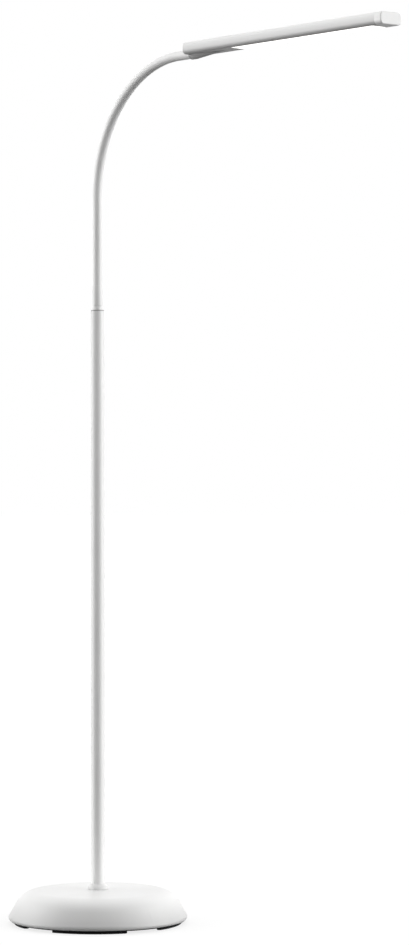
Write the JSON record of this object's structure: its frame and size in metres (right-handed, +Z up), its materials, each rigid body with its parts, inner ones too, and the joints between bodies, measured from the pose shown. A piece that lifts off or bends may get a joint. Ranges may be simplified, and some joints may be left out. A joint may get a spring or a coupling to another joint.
{
  "type": "gooseneck reading floor lamp",
  "caption": "Free-standing reading lamp: domed round base, slim pole, bendable neck and a long narrow LED head with a diffuser below.",
  "frame": {"origin": "on the floor, under the pole's axis", "axes": "+Z up along the pole, +X the way the head points, +Y across the head"},
  "size_m": [0.724, 0.25, 1.2109],
  "materials": {
    "white_steel": "satin",
    "white_aluminium": "satin",
    "white_plastic": "satin",
    "white_sleeve": "satin",
    "diffuser_plastic": "matte",
    "black_plastic": "matte",
    "black_rubber": "matte",
    "iron": "matte",
    "steel": "satin",
    "lead_jacket": "satin",
    "lamp_board": "satin",
    "lamp_yellow": "satin",
    "driver_board_green": "satin",
    "dark_parts": "satin"
  },
  "bodies": {
    "stand": {"base_shell": "white_steel", "base_weight": "iron", "base_plate": "black_plastic", "foot_pads": "black_rubber", "base_plate_screws": "steel", "cord_gland": "black_plastic", "base_collar": "white_steel", "tie_tube": "steel", "pole_nut": "steel", "pole_washer": "steel", "pole_foot_bush": "steel", "pole_tube": "white_steel", "pole_top_bush": "steel", "neck_lock_ring": "white_steel", "neck_ferrule": "white_steel", "stand_lead": "lead_jacket", "neck_sleeve_0": "white_sleeve", "neck_core_0": "steel"},
    "neck_link_1": {"neck_sleeve_1": "white_sleeve", "neck_core_1": "steel", "neck_lead_1": "lead_jacket"},
    "neck_link_2": {"neck_sleeve_2": "white_sleeve", "neck_core_2": "steel", "neck_lead_2": "lead_jacket"},
    "neck_link_3": {"neck_sleeve_3": "white_sleeve", "neck_core_3": "steel", "neck_lead_3": "lead_jacket"},
    "neck_link_4": {"neck_sleeve_4": "white_sleeve", "neck_core_4": "steel", "neck_lead_4": "lead_jacket"},
    "neck_link_5": {"neck_sleeve_5": "white_sleeve", "neck_core_5": "steel", "neck_lead_5": "lead_jacket"},
    "neck_link_6": {"neck_sleeve_6": "white_sleeve", "neck_core_6": "steel", "neck_lead_6": "lead_jacket"},
    "neck_link_7": {"neck_sleeve_7": "white_sleeve", "neck_core_7": "steel", "neck_lead_7": "lead_jacket"},
    "head": {"neck_sleeve_8": "white_sleeve", "neck_core_8": "steel", "head_lead": "lead_jacket", "neck_end_fitting": "steel", "neck_saddle": "white_aluminium", "saddle_screws": "steel", "saddle_grub_screw": "steel", "head_housing": "white_aluminium", "head_front_cap": "white_plastic", "head_rear_cap": "white_plastic", "head_bottom_cover": "white_plastic", "diffuser": "diffuser_plastic", "led_board": "lamp_board", "led_chips": "lamp_yellow", "driver_board": "driver_board_green", "driver_parts": "dark_parts", "led_leads": "lead_jacket", "switch_body": "dark_parts"},
    "button": {"button_cap": "white_plastic", "switch_plunger": "dark_parts"}
  },
  "joints": [
    {"name": "neck_sway_1", "type": "hinge", "parent": "stand", "child": "neck_link_1", "pos_m": [0, 0, 0.917], "axis": [1, 0, 0], "range_deg": [-12, 12]},
    {"name": "neck_low_bend_1", "type": "hinge", "parent": "neck_link_1", "child": "neck_link_2", "pos_m": [0, 0, 0.97192], "axis": [0, 1, 0], "range_deg": [-18, 18]},
    {"name": "neck_low_bend_2", "type": "hinge", "parent": "neck_link_2", "child": "neck_link_3", "pos_m": [0.00033, 0, 1.02684], "axis": [0, 1, 0], "range_deg": [-18, 18]},
    {"name": "neck_sway_2", "type": "hinge", "parent": "neck_link_3", "child": "neck_link_4", "pos_m": [0.01191, 0, 1.08031], "axis": [0.9336, 0, -0.3582], "range_deg": [-12, 12]},
    {"name": "neck_high_bend_1", "type": "hinge", "parent": "neck_link_4", "child": "neck_link_5", "pos_m": [0.03907, 0, 1.1278], "axis": [0, 1, 0], "range_deg": [-24, 24]},
    {"name": "neck_high_bend_2", "type": "hinge", "parent": "neck_link_5", "child": "neck_link_6", "pos_m": [0.07927, 0, 1.16491], "axis": [0, 1, 0], "range_deg": [-24, 24]},
    {"name": "neck_sway_3", "type": "hinge", "parent": "neck_link_6", "child": "neck_link_7", "pos_m": [0.12878, 0, 1.18818], "axis": [0.2826, 0, -0.9592], "range_deg": [-12, 12]},
    {"name": "neck_high_bend_3", "type": "hinge", "parent": "neck_link_7", "child": "head", "pos_m": [0.183, 0, 1.1955], "axis": [0, 1, 0], "range_deg": [-24, 24]},
    {"name": "button_press", "type": "slide", "parent": "head", "child": "button", "axis": [0, 0, -1], "range_m": [0, 0.0005], "stiffness_N_per_m": 1200}
  ],
  "couplings": [
    {"joint": "neck_low_bend_2", "follows": "neck_low_bend_1", "ratio": 1},
    {"joint": "neck_sway_2", "follows": "neck_sway_1", "ratio": 1},
    {"joint": "neck_high_bend_2", "follows": "neck_high_bend_1", "ratio": 1},
    {"joint": "neck_sway_3", "follows": "neck_sway_1", "ratio": 1},
    {"joint": "neck_high_bend_3", "follows": "neck_high_bend_1", "ratio": 1}
  ]
}
